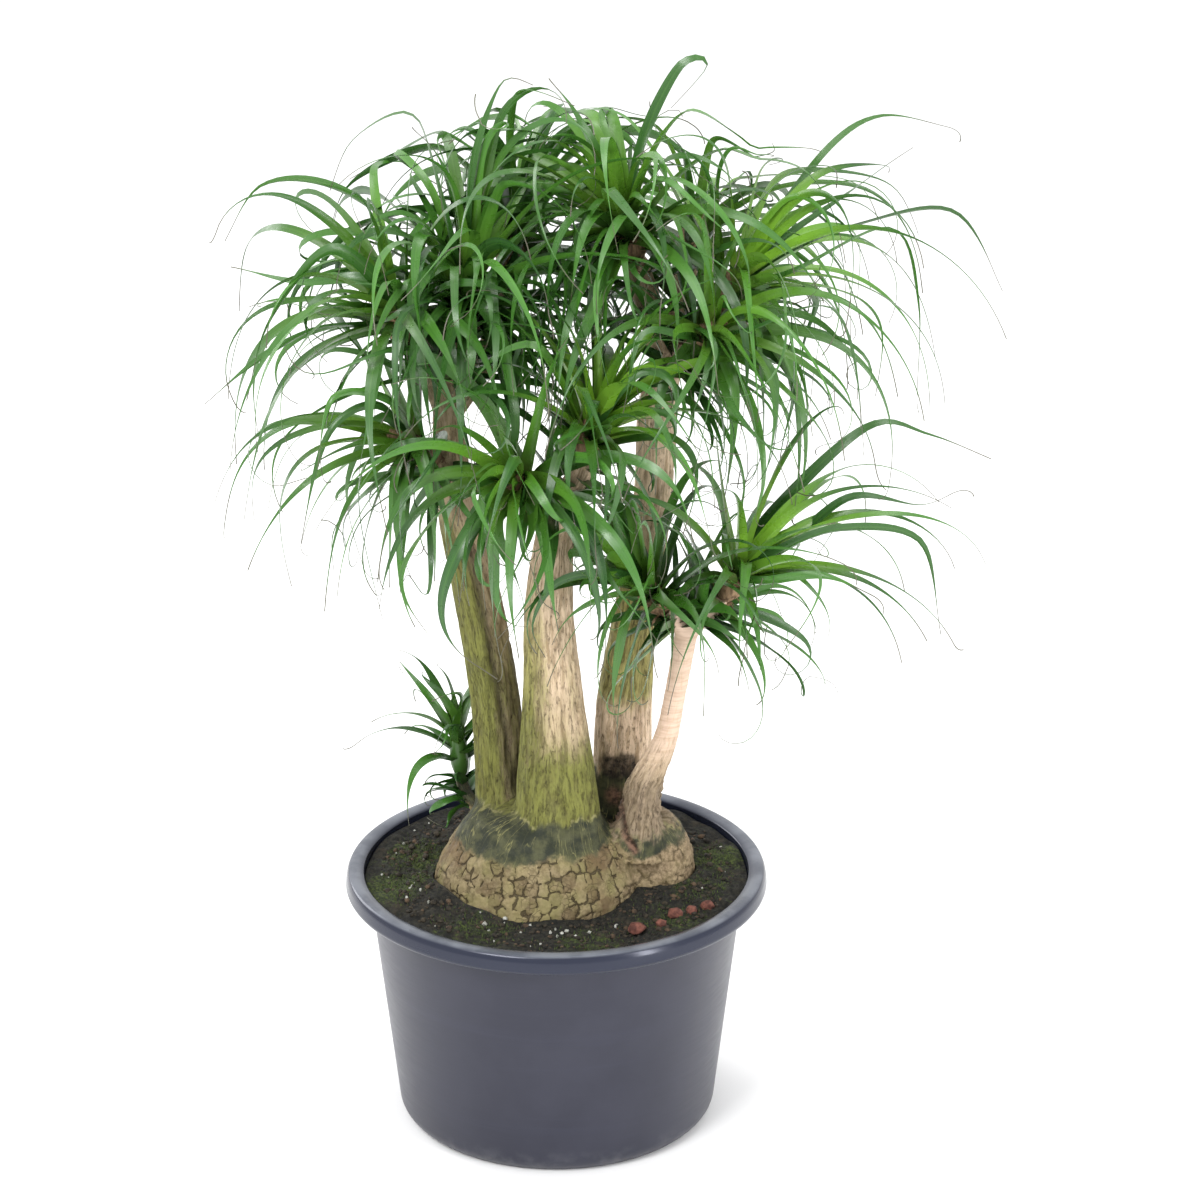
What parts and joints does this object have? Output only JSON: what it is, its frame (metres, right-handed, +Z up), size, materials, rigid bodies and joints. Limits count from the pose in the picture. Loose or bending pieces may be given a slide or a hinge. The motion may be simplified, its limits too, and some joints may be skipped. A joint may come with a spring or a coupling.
{
  "type": "potted ponytail palm",
  "caption": "Multi-stemmed ponytail palm: a cracked swollen base with bare trunks and heads of long arching strap leaves, planted in soil in a round rimmed plastic container.",
  "frame": {"origin": "centre of the pot's underside, on the surface that it stands on", "axes": "+Z up, -Y towards the viewer of the picture, +X to that viewer's right"},
  "size_m": [0.683, 0.4746, 0.97],
  "materials": {
    "pot_plastic": "satin dark slate-blue polypropylene, a little worn",
    "soil": "damp dark potting soil with moss",
    "clay_chip": "rough porous red clay",
    "bark": "dry fissured bark, green with algae lower down",
    "leaf": "glossy leathery green leaf with fine lengthwise veins"
  },
  "bodies": {
    "root": {"pot": "pot_plastic", "soil": "soil", "clay_chip_1": "clay_chip", "clay_chip_2": "clay_chip", "clay_chip_3": "clay_chip", "clay_chip_4": "clay_chip", "clay_chip_5": "clay_chip", "trunk": "bark", "head_left_outer": "leaf", "head_left_inner": "leaf", "head_left_low": "leaf", "head_left_back": "leaf", "head_front_right": "leaf", "head_front_low": "leaf", "head_right_top": "leaf", "head_right_outer": "leaf", "head_right_front": "leaf", "head_right_back": "leaf", "head_thin_right": "leaf", "head_thin_left": "leaf", "shoot_basal": "leaf"}
  },
  "joints": []
}
